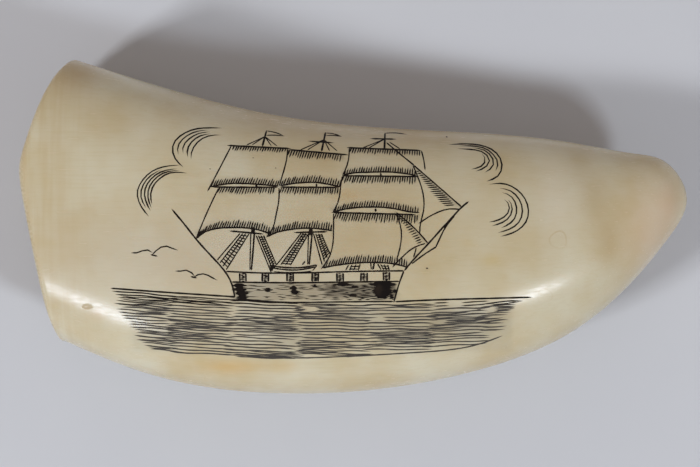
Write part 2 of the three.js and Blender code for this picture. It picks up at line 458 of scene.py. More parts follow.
def rigSpars():
    scribe(spars["stern"], graver["bold"], 0.8, 0.4)
    scribe(spars["bowsprit"], graver["bold"], 0.4, 0.5)
    for name in ("jibStay", "underStay", "foreStay", "splice", "spur"):
        scribe(spars[name], graver["usual"] * 1.1, 0.3, 0.3)
    scribe(spars["jibHalyard"], graver["fine"], 0.3, 0.5)
    for x, y in slings:
        scribe([(x, y + 0.35), (x + 0.05, y - 0.4)], graver["bold"] * 1.1, 0.2, 0.2)


hull = {
    "rail": ((-25.7, -9.15), (-17.1, -9.5), (-9.6, -9.45), (-2.6, -9.25), (10.5, -9.05)),
    "wale": ((-24.5, -11.3), (-14.3, -11.45), (-2.6, -11.35), (9.6, -11.2)),
    "keel": ((-23.7, -14.7), (-19.0, -15.1), (-14.3, -15.4), (-4.9, -15.4), (8.4, -15.3)),
    "stem": ((10.5, -9.0), (9.7, -11.1), (8.4, -15.6)),
    "ports": (-22.2, -17.6, -12.6, -7.5, -2.5, 2.4, 6.9),
    "portSize": (1.25, 1.8),
    "portTop": -9.45,
    "planks": (-14.9, -11.6),       # bottom and top of the streaked planking
    "plankSpacing": 0.21,
    "blotWidth": 0.36,      # of the strokes that run together into a blot
    "blotSpacing": 0.2,
    # middle, width and height of the inked blots
    "blots": ((-22.9, -12.0, 3.4, 0.5), (-22.7, -12.8, 3.6, 0.7), (-22.5, -13.6, 3.4, 0.7),
              (-22.2, -14.4, 3.0, 0.5),
              (-17.1, -12.9, 2.4, 0.5), (-11.9, -12.5, 2.0, 0.6), (-11.7, -13.3, 2.4, 0.6),
              (-7.6, -12.1, 1.6, 0.3), (-2.0, -11.8, 5.0, 0.2), (0.1, -14.0, 2.6, 0.4),
              (0.6, -12.3, 3.0, 0.2), (6.3, -11.8, 6.2, 0.6), (6.1, -13.2, 4.0, 2.6),
              (8.6, -13.2, 1.6, 0.4), (8.0, -14.2, 1.8, 0.3)),
}


def blot(x, y, width, height):
    # rows of strokes close enough to run together, with ragged ends
    rows = max(2, int(round(height / hull["blotSpacing"])) + 1)
    for share in np.linspace(-1, 1, rows):
        swell = math.sqrt(max(0.35, 1 - share ** 2))
        level = y + share * height / 2
        ends = x + width / 2 * swell * chance.uniform(0.8, 1.15, 2) * (-1, 1)
        slant = chance.uniform(-0.06, 0.06)
        scribe([(ends[0], level), (ends[1], level + slant)], hull["blotWidth"], 0.45, 0.45)


def buildHull():
    scribe(hull["rail"], graver["bold"] * 0.9, 0.4, 0.3)
    scribe(hull["wale"], graver["bold"] * 0.95, 0.3, 0.3)
    scribe(hull["keel"], graver["bold"] * 0.9, 0.3, 0.4)
    scribe(hull["stem"], graver["bold"] * 0.9, 0.3, 0.3)
    portWidth, portHeight = hull["portSize"]
    for x in hull["ports"]:
        top = hull["portTop"] + 0.03 * max(0, x)
        for side in (-0.5, 0.5):
            post = x + side * portWidth
            foot = (post + chance.uniform(-0.08, 0.08), top - portHeight)
            scribe([(post, top), foot], graver["bold"], 0.2, 0.2)
        for level in np.arange(0.2, portHeight, 0.24):
            reach = portWidth * chance.uniform(0.2, 0.5)
            drift = chance.uniform(-0.15, 0.15)
            left, right = x - reach + drift, x + reach + drift
            slant = chance.uniform(-0.15, 0.15)
            scribe([(left, top - level), (right, top - level + slant)],
                   graver["fine"] * chance.uniform(0.8, 1.5), 0.4, 0.4)
    # the planking is streaked with dry, broken strokes, closer together towards the bow
    bottom, top = hull["planks"]
    for level in np.arange(bottom, top, hull["plankSpacing"]):
        x = -24.0 + chance.uniform(0, 2)
        while x < 8.0:
            reach = chance.uniform(0.8, 3.6)
            closer = min(1, max(0, (x + 10) / 10))
            if chance.random() < 0.5 + 0.4 * closer:
                end = (min(8.6, x + reach), level + chance.uniform(-0.08, 0.08))
                scribe([(x, level), end],
                       chance.uniform(0.1, 0.17) + 0.1 * closer * chance.random(), 1.2, 1.2)
            x += reach + chance.uniform(0.1, 1.2)
    for place in hull["blots"]:
        blot(*place)


boat = {
    "gunwale": ((-16.9, -8.0), (-13.8, -8.35), (-10.0, -8.35), (-7.1, -7.8)),
    "strake": ((-16.7, -8.35), (-13.8, -8.8), (-10.0, -8.75), (-7.4, -8.2)),
    "keel": ((-16.1, -9.2), (-11.9, -9.35), (-8.1, -9.1)),
    "ends": (((-16.9, -8.0), (-16.1, -9.2)), ((-7.1, -7.8), (-8.1, -9.1))),
    "davit": ((-10.2, -7.9), (-9.5, -7.0)),
}


def buildBoat():
    scribe(boat["gunwale"], graver["bold"] * 0.95, 0.4, 0.4)
    scribe(boat["strake"], graver["usual"] * 1.1, 0.4, 0.4)
    scribe(boat["keel"], graver["fine"] * 0.8, 0.4, 0.4)
    for end in boat["ends"]:
        scribe(end, graver["usual"], 0.3, 0.3)
    scribe(boat["davit"], graver["bold"], 0.3, 0.3)


# The sea, hatched in blocks whose strokes overlap at their ends

sea = {
    "horizon": ((-49.2, -12.6), (-37.2, -13.45), (-24.3, -14.3), (-10.7, -15.45), (8.5, -15.35),
                (18.0, -14.95), (26.2, -14.75), (36.9, -14.5)),
    "left": ((-48.8, -13.0), (-47.8, -17.0), (-45.9, -20.3), (-41.4, -26.0)),
    "right": ((36.0, -14.5), (33.2, -17.2), (32.0, -20.4), (32.4, -22.3)),
    "bottom": ((-40.7, -25.6), (-16.1, -26.8), (8.8, -25.8), (26.0, -24.1), (32.4, -22.0)),
    "blockEdges": (-49.5, -36.5, -24.2, -10.8, 3.4, 16.4, 27.0, 40.0),
    "spacing": 0.61,
    "lap": 1.8,             # how far the strokes of neighbouring blocks pass each other
    "widths": (0.24, 0.32),
    "secondWidths": (0.16, 0.26),
    # places from left to right, and how steeply the lines rise there
    "tilts": ((-45, -5, 10, 35), (-0.07, -0.025, 0.0, 0.075)),
    # middle, half length and half height of the glints left uncut
    "gaps": ((5.0, -18.6, 1.6, 0.7), (21.0, -16.0, 1.2, 0.5), (17.0, -19.6, 1.5, 0.6),
             (-8.5, -16.8, 1.0, 0.5), (-12.5, -23.8, 1.0, 0.5), (27.5, -17.3, 1.3, 0.5)),
}


def wave(start, end, level, tilt, middle, horizon):
    # one long cut, a little uneven, kept below the horizon
    x = np.linspace(start, end, 5)
    y = level + tilt * (x - middle) + 0.1 * np.sin(x * 0.7 + chance.uniform(0, 6.3))
    y = np.minimum(y, np.interp(x, horizon[:, 0], horizon[:, 1]) - 0.35)
    return np.stack([x, y], -1)


def cutWave(cut, width, start, end):
    # the cut stops short of a glint and goes on beyond it
    for x, y, halfLength, halfHeight in sea["gaps"]:
        near = abs(cut[2, 1] - y) < halfHeight + 0.6
        if near and cut[0, 0] < x - halfLength and cut[-1, 0] > x + halfLength:
            if abs(np.interp(x, cut[:, 0], cut[:, 1]) - y) < halfHeight:
                before = x - halfLength * chance.uniform(0.6, 1.3)
                beyond = x + halfLength * chance.uniform(0.6, 1.3)
                for first, last in ((cut[0, 0], before), (beyond, cut[-1, 0])):
                    xs = np.linspace(first, last, 4)
                    if last - first > 1:
                        scribe(np.stack([xs, np.interp(xs, cut[:, 0], cut[:, 1])], -1), width, 0.9, 0.9)
                return
    scribe(cut, width, start, end)


def hatchSea():
    # the horizon, then block by block rows of long cuts from the horizon down to the lower edge
    horizon = np.array(sea["horizon"])
    bottom = np.array(sea["bottom"])
    left = np.array(sea["left"])[::-1]
    right = np.array(sea["right"])[::-1]
    scribe(sea["horizon"][:3] + ((-23.6, -14.35),), graver["bold"], 0.6, 0.4)
    scribe(((8.6, -15.35),) + sea["horizon"][5:], graver["bold"], 0.4, 1.0)
    edges = sea["blockEdges"]
    for block in range(len(edges) - 1):
        middle = (edges[block] + edges[block + 1]) / 2
        top = np.interp(middle, horizon[:, 0], horizon[:, 1]) - 0.45
        low = np.interp(middle, bottom[:, 0], bottom[:, 1])
        level = top - chance.uniform(0, 0.3)
        row, drift = 0, 0.0
        while level > low - 0.1:
            drift = 0.75 * drift + chance.uniform(-0.6, 0.6)
            tilt = np.interp(middle, *sea["tilts"]) + chance.uniform(-0.012, 0.012)
            start = edges[block] - sea["lap"] * chance.uniform(0.1, 1.0) + drift
            end = edges[block + 1] + sea["lap"] * chance.uniform(0.0, 0.9) + drift
            start = max(start, np.interp(level, left[:, 1], left[:, 0]) + chance.uniform(-0.8, 0.7))
            end = min(end, np.interp(level, right[:, 1], right[:, 0]) - chance.uniform(0, 2.4))
            if end - start > 4:
                cut = wave(start, end, level, tilt, middle, horizon)
                cutWave(cut, chance.uniform(*sea["widths"]), 1.2, 1.8)
                # neighbouring rows get a second cut beside the first, where the water is darker
                if math.sin(row * 0.5 + block * 2.3) > 0 and chance.random() < 0.9:
                    reach = chance.uniform(0.5, 0.95) * (end - start)
                    first = start if block % 2 else end - reach
                    cutWave(wave(first, first + reach, level - 0.3, tilt, middle, horizon),
                            chance.uniform(*sea["secondWidths"]), 1.4, 1.8)
            level -= sea["spacing"] * chance.uniform(0.85, 1.15)
            row += 1
    scribe(((-24.0, -26.6), (-10.0, -26.9), (5.0, -26.2)), graver["usual"], 1.2, 1.6)
    scribe(((-2.0, -26.7), (14.0, -25.8), (26.0, -24.2), (31.0, -22.4)), graver["usual"], 1.0, 1.2)


# Gulls and clouds

gulls = (
    # two wings and a short bold body each
    {"wings": (((-44.9, -5.4), (-43.7, -5.4), (-41.6, -4.8), (-40.4, -5.4)),
               ((-40.7, -5.9), (-39.3, -4.6), (-38.0, -4.0), (-36.7, -4.4), (-35.2, -4.9))),
     "body": ((-40.9, -5.75), (-39.4, -6.1))},
    {"wings": (((-36.0, -9.1), (-34.8, -9.1), (-33.8, -8.9), (-32.6, -9.4), (-31.8, -10.3)),
               ((-32.2, -10.4), (-31.2, -9.8), (-29.9, -9.7), (-28.6, -10.3), (-27.3, -11.0))),
     "body": ((-32.8, -10.2), (-31.4, -10.5))},
)

cloudWidths = (0.28, 0.34)
clouds = (
    # the outer arc and the inner one, with arcs shared out between them
    {"outer": ((-26.6, 20.1), (-30.5, 20.1), (-33.8, 19.3), (-35.9, 17.6), (-36.7, 15.6),
               (-35.9, 13.7), (-34.3, 11.9)),
     "inner": ((-26.8, 18.7), (-29.7, 18.3), (-31.6, 17.1), (-32.7, 15.1), (-32.8, 13.5)), "arcs": 5},
    {"outer": ((-34.8, 12.4), (-37.9, 12.2), (-40.8, 11.0), (-42.9, 8.8), (-43.6, 6.4),
               (-42.9, 4.2), (-41.2, 1.9)),
     "inner": ((-33.4, 10.8), (-37.0, 10.8), (-39.4, 9.4), (-40.8, 7.0), (-40.6, 4.2)), "arcs": 5},
    {"outer": ((19.8, 16.8), (22.7, 17.0), (25.7, 16.9), (27.9, 16.3), (29.5, 15.2), (30.5, 13.5),
               (31.0, 12.0), (29.5, 10.2), (27.4, 9.2)),
     "inner": ((21.6, 16.0), (24.4, 15.9), (26.4, 15.5), (27.9, 14.4), (28.1, 13.1), (27.1, 12.0),
               (25.2, 11.2)),
     "arcs": 4},
    {"outer": ((26.6, 15.1), (27.3, 13.9), (27.1, 12.9), (25.9, 12.1), (24.3, 11.7)),
     "inner": ((26.6, 15.1), (24.3, 11.7)), "arcs": 1},
    {"outer": ((27.8, 8.5), (30.9, 8.7), (33.4, 7.7), (35.0, 6.0), (36.0, 3.4), (35.6, 1.2),
               (33.6, -0.9), (30.2, -2.1)),
     "inner": ((30.9, 5.6), (31.9, 4.6), (32.0, 3.4), (31.2, 2.1), (27.8, 0.8)), "arcs": 5},
)


def drawSky():
    # two gulls, and clouds of nested arcs
    for gull in gulls:
        for wing in gull["wings"]:
            scribe(wing, graver["usual"], 0.7, 0.9)
        scribe(gull["body"], graver["bold"], 0.3, 0.4)
    for cloud in clouds:
        outer, inner = (spaced(cloud[name], 12) for name in ("outer", "inner"))
        for share in np.linspace(0, 1, cloud["arcs"]):
            # the arcs between the first and the last are shorter, so that their ends stay apart
            first, last = (chance.integers(1, 4), chance.integers(10, 13)) if 0 < share < 1 else (0, 12)
            arc = spaced((outer + (inner - outer) * share)[first:last], 7)
            scribe(arc + chance.uniform(-0.05, 0.05, arc.shape), chance.uniform(*cloudWidths), 2.6, 1.2)


# Old marks: specks that hold colour, a chip at the root, and rings left by water

marks = {
    # middle and size
    "specks": ((19.6, 18.6, 0.5), (15.2, -8.5, 0.55), (-20.2, 14.0, 0.3), (-15.6, 11.9, 0.3),
               (-28.9, 11.7, 0.3), (-29.3, 26.2, 0.3)),
    "chip": (-54.1, -16.4, 1.25, 0.6, 0.2),    # middle, half length, half width, depth
    "rings": ((42.1, -2.8, 1.75, 0.42), (39.4, -14.3, 1.5, 0.2)),     # middle, radius, strength
}


def markSpots():
    # rings of points round each mark, so that the surface is fine enough to hold it
    turn = np.linspace(0, 2 * np.pi, 28, endpoint=False)
    circle = np.stack([np.cos(turn), np.sin(turn)], -1)
    spots = []
    for share in (0.001, 0.35, 0.6, 0.8, 1.0, 1.2):
        spots.append(np.array(marks["chip"][:2]) + circle * marks["chip"][2:4] * share)
    for x, y, radius, _ in marks["rings"]:
        for share in (0.6, 0.82, 0.92, 1.0, 1.08, 1.2):
            spots.append(np.array([x, y]) + circle * radius * share)
    return np.concatenate(spots)


def chipDepth(x, y):
    # a shallow bowl with an oval edge
    middleX, middleY, length, width, depth = marks["chip"]
    out = np.hypot((x - middleX) / length, (y - middleY) / width)
    return depth * np.clip(1 - out ** 2, 0, 1)


def engravePicture():
    for sail in sails:
        setSail(sail)
    for mast in mastheads:
        rigMasthead(mast)
    for rig in lowerRigs:
        rigLowerMast(rig)
    for jib in jibs:
        setJib(jib)
    rigSpars()
    buildHull()
    buildBoat()
    hatchSea()
    drawSky()
    for x, y, size in marks["specks"]:
        scribe([(x - size / 2, y), (x + size / 2, y - 0.1)], size * 0.7, 0.5, 0.5)
    print("engraving:", len(strokes), "strokes")


def grooveDepth(points, widen=0.0):
    # the deepest V cut at each point, which falls from a stroke's middle to nothing at its edge
    depth = np.zeros(len(points))
    for path, half in strokes:
        margin = half.max() + widen
        inReach = (points > path.min(0) - margin) & (points < path.max(0) + margin)
        near = np.flatnonzero(np.all(inReach, axis=1))
        if not len(near):
            continue
        start, leg = path[:-1], np.diff(path, axis=0)
        reach = points[near][:, None] - start
        share = np.clip((reach * leg).sum(-1) / (leg ** 2).sum(-1), 0, 1)
        away = np.linalg.norm(reach - share[..., None] * leg, axis=-1)
        wide = half[:-1] + share * np.diff(half) + widen
        depth[near] = np.maximum(depth[near], graver["wallSlope"] * (wide - away).max(1))
    return np.maximum(depth, 0)


# The tooth's surface, with the picture cut into it

def gridFaces(rings, columns, first):
    # quads between rings of points that close on themselves, in the order of the solid's faces
    ring, column = np.meshgrid(np.arange(rings - 1), np.arange(columns), indexing="ij")
    after = (column + 1) % columns
    corners = [ring * columns + column, (ring + 1) * columns + column,
               (ring + 1) * columns + after, ring * columns + after]
    return np.stack([first + corner for corner in corners], -1), ring, column


def engravedWindow(outer):
    # a net of triangles over the window of the outer grid, with every stroke's edges and middle in it
    columns = tooth["columns"]
    row0, row1, column0, column1 = tooth["window"]
    rows = np.arange(row0, row1 + 1)
    across = np.arange(column0, column1 + 1)
    border = np.concatenate([
        rows * columns + column0,
        row1 * columns + across[1:],
        rows[::-1][1:] * columns + column1,
        row0 * columns + across[::-1][1:-1],
    ])
    inner = (rows[1:-1, None] * columns + across[None, 1:-1]).ravel()
    innerXY = outer[inner, :2]
    innerXY = innerXY[grooveDepth(innerXY, 0.25) == 0]
    points = [outer[border, :2], innerXY, markSpots()]
    edges = [np.stack([np.arange(len(border)), np.roll(np.arange(len(border)), -1)], -1)]
    count = sum(len(part) for part in points)
    for path, half in strokes:
        ahead = np.gradient(path, axis=0)
        side = np.stack([-ahead[:, 1], ahead[:, 0]], -1) / np.linalg.norm(ahead, axis=1)[:, None]
        for offset in (side, -side, None):
            line = path if offset is None else path + offset * half[:, None]
            points.append(line)
            steps = count + np.arange(len(line) - 1)
            edges.append(np.stack([steps, steps + 1], -1))
            count += len(line)
    points = np.concatenate(points)
    corners = [Vector(point) for point in points.tolist()]
    found = delaunay_2d_cdt(corners, np.concatenate(edges).tolist(), [], 1, 2e-4)
    xy = np.array([tuple(v) for v in found[0]])
    faces = np.array(found[2])
    origin = np.full(len(xy), -1)
    for index, sources in enumerate(found[3]):
        onBorder = [s for s in sources if s < len(border)]
        if onBorder:
            origin[index] = border[onBorder[0]]
    a, b, c = (xy[faces[:, i]] for i in range(3))
    area = (b[:, 0] - a[:, 0]) * (c[:, 1] - a[:, 1]) - (b[:, 1] - a[:, 1]) * (c[:, 0] - a[:, 0])
    faces = np.where(area[:, None] < 0, faces[:, ::-1], faces)[np.abs(area) > 1e-7]
    return xy, faces, origin


def restOnFlat(points):
    # the underside is planed off to the small flat, which then lies at height 0
    points[:, 2] = np.maximum(points[:, 2], tooth["restCut"]) - tooth["restCut"]
    return points


def makeMesh(name, points, faces, normals):
    # smooth faces with the given normals, and the mesh's own where none is given
    mesh = bpy.data.meshes.new(name)
    mesh.from_pydata((points * mm).tolist(), [], faces)
    mesh.polygons.foreach_set("use_smooth", np.ones(len(mesh.polygons), bool))
    mesh.update()
    own = np.empty(len(points) * 3)
    mesh.vertices.foreach_get("normal", own)
    own = own.reshape(-1, 3)
    known = ~np.isnan(normals[:, 0])
    own[known] = normals[known]
    mesh.normals_split_custom_set_from_vertices(own.tolist())
    piece = bpy.data.objects.new(name, mesh)
    bpy.context.scene.collection.objects.link(piece)
    return piece


def buildTooth():
    # rings of points from the tip over the lip and down into the cavity, with the engraver's net of
    # triangles in their window, and the ink as a second mesh from the same net
    columns, outerRows = tooth["columns"], tooth["outerRows"]
    angle = 2 * np.pi * np.arange(columns) / columns
    shares = np.arange(1, outerRows + 1) / outerRows
    outer = outerPoint(shares[:, None], angle[None]).reshape(-1, 3)
    lipShares = np.arange(1, tooth["lipRows"]) / tooth["lipRows"]
    lip = lipPoint(lipShares[:, None] + 0 * angle, angle[None] + 0 * lipShares[:, None]).reshape(-1, 3)
    pulpShares = np.arange(tooth["pulpRows"]) / tooth["pulpRows"]
    pulp = pulpPoint(pulpShares[:, None], angle[None]).reshape(-1, 3)
    rings = np.concatenate([outer, lip, pulp])
    ends = np.stack([outerPoint(0.0, np.array(0.0)), pulpPoint(1.0, np.array(0.0))])
    faces, ring, column = gridFaces(len(rings) // columns, columns, 0)
    row0, row1, column0, column1 = tooth["window"]
    cut = (ring >= row0) & (ring < row1) & (column >= column0) & (column < column1)
    faces = faces[~cut]

    patchXY, patchFaces, origin = engravedWindow(outer)
    cutDepth = grooveDepth(patchXY)
    bowl = chipDepth(patchXY[:, 0], patchXY[:, 1])
    patch = np.column_stack([patchXY, topHeight(patchXY[:, 0], patchXY[:, 1]) - bowl])
    patch = np.where(origin[:, None] >= 0, rings[np.maximum(origin, 0)], patch)
    cutDepth[origin >= 0] = 0
    inked = grooveDepth(patchXY[patchFaces].mean(1)) > 1e-4

    points = np.concatenate([rings, ends, patch])
    normals = outerNormal(points)
    normals[len(outer):len(rings)] = np.nan
    normals[len(rings) + 1] = np.nan
    chipped = len(rings) + len(ends) + np.flatnonzero(bowl > 0)
    normals[chipped] = np.nan
    tipIndex, apexIndex, firstPatch = len(rings), len(rings) + 1, len(rings) + 2
    number = np.where(origin >= 0, origin, firstPatch + np.arange(len(patchXY)))
    fan = np.arange(columns)
    after = (fan + 1) % columns
    lastRing = len(rings) - columns
    tipFan = np.stack([np.full(columns, tipIndex), fan, after], -1)
    apexFan = np.stack([lastRing + fan, np.full(columns, apexIndex), lastRing + after], -1)
    allFaces = faces.tolist() + tipFan.tolist() + apexFan.tolist() + number[patchFaces].tolist()

    carved = points.copy()
    carved[firstPatch:, 2] -= cutDepth
    carved = restOnFlat(carved)
    used = np.zeros(len(points), bool)
    for part in (faces, tipFan, apexFan, number[patchFaces]):
        used[part] = True
    renumber = np.cumsum(used) - 1
    usedFaces = [renumber[face].tolist() for face in allFaces]
    piece = makeMesh("tooth_surface", carved[used], usedFaces, normals[used])

    x, y = points[used, 0], points[used, 1]
    zone = np.zeros(len(points))
    zone[len(outer):len(outer) + len(lip)] = 0.5
    zone[len(outer) + len(lip):len(rings)] = 1
    zone[apexIndex] = 1
    onTop = outerNormal(points)[used][:, 2] > 0
    row = np.zeros(len(points))
    row[:len(rings)] = np.maximum(np.arange(len(rings)) // columns - (outerRows - 1), 0)
    row[apexIndex] = row.max() + 1
    column = np.zeros(len(points))
    column[:len(rings)] = np.arange(len(rings)) % columns
    column[apexIndex] = -1
    layFlat(piece, points[used], row[used], column[used])
    addAttribute(piece, "zone", zone[used])
    # the ivory's stains, soot and old marks, with a patch of painted sheen near the root
    addAttribute(piece, "stain_and_sheen", stainAndSheenAt(x, y, onTop))

    # the ink lies a little below the surface, as a closed body that ends just above the groove's floor
    level = patch - np.array([0, 0, 1]) * (cutDepth * graver["inkLevel"])[:, None]
    floor = patch - np.array([0, 0, 1]) * (cutDepth * graver["inkFloor"])[:, None]
    inkUsed, corners = np.unique(patchFaces[inked], return_inverse=True)
    corners = corners.reshape(-1, 3)
    shore = cutDepth[inkUsed] < 1e-6
    low = np.where(shore, np.arange(len(inkUsed)), len(inkUsed) + np.arange(len(inkUsed)))
    inkPoints = restOnFlat(np.concatenate([level[inkUsed], floor[inkUsed]]))
    under = low[corners][:, ::-1]
    bodies = (cutDepth[inkUsed][corners] > 1e-6).any(1)
    inkFaces = np.concatenate([corners[bodies], under[bodies]])
    kept, inkFaces = np.unique(inkFaces, return_inverse=True)
    inkFaces = inkFaces.reshape(-1, 3)
    skyward = outerNormal(patch)[inkUsed]
    inkNormals = np.concatenate([skyward, -skyward])[kept]
    ink = makeMesh("ink_lines", inkPoints[kept], inkFaces.tolist(), inkNormals)
    # the sea's lines are cut more lightly and hold less soot
    belowHorizon = (inkFinish["seaTop"] - inkPoints[kept][:, 1]) / inkFinish["wearEdge"]
    addAttribute(ink, "wear", inkFinish["seaWear"] * np.clip(belowHorizon, 0, 1))
    ink.data.uv_layers.new(name="OFBake")
    loops = np.empty(len(ink.data.loops), np.int32)
    ink.data.loops.foreach_get("vertex_index", loops)
    flat = inkPoints[kept][loops][:, :2] / tooth["length"] + 0.5
    ink.data.uv_layers["OFBake"].uv.foreach_set("vector", flat.ravel())
    print("tooth:", len(piece.data.polygons), "faces, ink:", len(ink.data.polygons), "faces")
    return piece, ink


flatMap = {
    # shares of the map's square
    "toothLength": 0.84,
    "middle": 0.43,
    "levels": (0.74, 0.26),     # the upper side and the underside
    "strip": (0.87, 0.12),      # where the strip starts, and its breadth
    "stripRise": (0.01, 0.97),
}


def layFlat(piece, points, row, column):
    # a flat map: the upper side over the underside, each as seen straight on, and beside them a
    # strip with the lip and the cavity unrolled by row and column
    mesh = piece.data
    loops = np.empty(len(mesh.loops), np.int32)
    mesh.loops.foreach_get("vertex_index", loops)
    starts, corners = np.empty((2, len(mesh.polygons)), np.int32)
    mesh.polygons.foreach_get("loop_start", starts)
    mesh.polygons.foreach_get("loop_total", corners)
    face = np.repeat(np.arange(len(starts)), corners)
    facing = np.empty(len(starts) * 3, np.float32)
    mesh.polygon_normals.foreach_get("vector", facing)
    size = flatMap["toothLength"] / tooth["length"]
    across = flatMap["middle"] + points[loops, 0] * size
    up = np.where(facing[2::3][face] >= 0, *flatMap["levels"]) + points[loops, 1] * size
    # the apex takes its neighbour's column, and the last column is followed by the first
    own = column[loops]
    own[own < 0] = own[np.flatnonzero(own < 0) + 1]
    spread = (np.maximum.reduceat(own, starts) - np.minimum.reduceat(own, starts))[face]
    own += tooth["columns"] * ((spread > tooth["columns"] / 2) & (own < tooth["columns"] / 2))
    inside = np.maximum.reduceat(row[loops], starts)[face] > 0
    stripStart, stripBreadth = flatMap["strip"]
    stripFoot, stripHeight = flatMap["stripRise"]
    across = np.where(inside, stripStart + stripBreadth * row[loops] / row.max(), across)
    up = np.where(inside, stripFoot + stripHeight * own / tooth["columns"], up)
    mesh.uv_layers.new(name="OFBake").uv.foreach_set("vector", np.column_stack([across, up]).ravel())


def addAttribute(piece, name, values):
    # one number or one colour for each point
    kind, field = ("FLOAT", "value") if values.ndim == 1 else ("FLOAT_COLOR", "color")
    attribute = piece.data.attributes.new(name, kind, "POINT")
    attribute.data.foreach_set(field, values.astype(np.float32).ravel())


# Colours that age has left in the ivory, and a patch of painted sheen

def linear(hexColour):
    # sRGB hex to the linear numbers that shaders use
    parts = [int(hexColour[i:i + 2], 16) / 255 for i in (0, 2, 4)]
    return tuple(c / 12.92 if c <= 0.04045 else ((c + 0.055) / 1.055) ** 2.4 for c in parts)


stainsAndSheen = (
    # middle, half length, half width, colour, strength
    (-0.9, 6.4, 2.6, 1.7, "b98a2c", 0.34),
    (28.2, -6.9, 2.0, 1.2, "c4a145", 0.30),
    (24.0, -3.6, 1.5, 1.0, "c4a145", 0.16),
    (-24.8, -28.8, 5.5, 1.5, "cf9c3c", 0.40),
    (-14.0, -28.8, 3.0, 1.2, "cf9c3c", 0.22),
    (41.5, 6.0, 4.5, 9.0, "ddd4c2", 0.30),
    (46.5, 13.0, 3.0, 4.5, "a3834a", 0.26),
    (49.6, 5.5, 3.0, 5.5, "a3834a", 0.36),
    (52.6, -3.5, 3.0, 6.0, "a3834a", 0.36),
    (62.0, -1.0, 6.0, 10.0, "dbb9a0", 0.36),
    (65.5, 5.0, 2.6, 4.5, "d8ae92", 0.25),
    (69.6, 2.0, 1.5, 6.0, "d8cba8", 0.40),
    (-56.5, 31.0, 5.0, 4.5, "a8803f", 0.40),
    (-52.0, -18.0, 2.0, 1.2, "b98a4c", 0.25),
    (4.0, 1.0, 52.0, 19.0, "b39a6a", 0.27),
    # a greyer, less yellow patch over the root half: partly the ivory's own tone, partly painted sheen
    # that whitens it round the highlight near the root
    (-36.0, -7.0, 30.0, 10.0, "c4bbac", 0.36),
    (-6.0, -4.0, 26.0, 9.0, "8f8268", 0.13),
    # a brown band along the upper edge, darker there
    (-4.0, 22.0, 42.0, 5.0, "b08a58", 0.17),
    (4.0, 6.5, 7.5, 3.0, "a98440", 0.20),
    (-7.0, 12.0, 6.0, 2.5, "b08d50", 0.12),
    (3.0, -3.0, 6.0, 4.5, "b08d50", 0.16),
)
soot = {
    "colour": "4e463b",
    "besideSails": 0.36,
    "besideJibs": 0.3,
    "jibReach": 0.6,        # as a share of the jib's shading
    "ports": 0.4,
    "portColour": "5b5144",
    "portEdge": 0.1,
}
waterMark = {"colour": "a98852", "breadth": 0.08}       # breadth as a share of the ring's radius
chipWear = {"colour": "a07a48", "strength": 0.34}
washes = (
    # left, right, bottom, top, edge softness, colour, strength: thin soot left by the rubbing
    (-24.3, 9.2, -15.2, -11.3, 0.25, "5f5342", 0.42),
    (-6.0, 9.4, -14.8, -11.3, 0.8, "3a3026", 0.55),
    (-46.0, 33.5, -26.4, -14.8, 1.4, "6a6257", 0.13),
    (-5.0, 33.5, -23.0, -15.4, 2.5, "5f594f", 0.16),
    (-17.5, -5.5, -25.6, -18.8, 1.8, "5f594f", 0.2),
    (-5.8, 3.0, -18.6, -16.2, 0.9, "5f594f", 0.22),
    (15.0, 29.5, -24.0, -16.4, 2.0, "5f594f", 0.16),
)


def layTint(colour, tint, cover):
    # laid over what is there, with the alpha for their joint strength
    cover = cover[:, None]
    both = 1 - (1 - colour[:, 3:]) * (1 - cover)
    colour[:, :3] += (np.array(linear(tint)) - colour[:, :3]) * cover / np.maximum(both, 1e-6)
    colour[:, 3:] = both


def sootBeside(path, length, along, away):
    # 1 at the path, fading to 0 a little more than a stroke's length from it
    share = (away - np.interp(along, *zip(*path))) / length
    return np.clip(1.25 - share, 0, 1) * (share > -0.02) * (along > path[0][0]) * (along < path[-1][0])


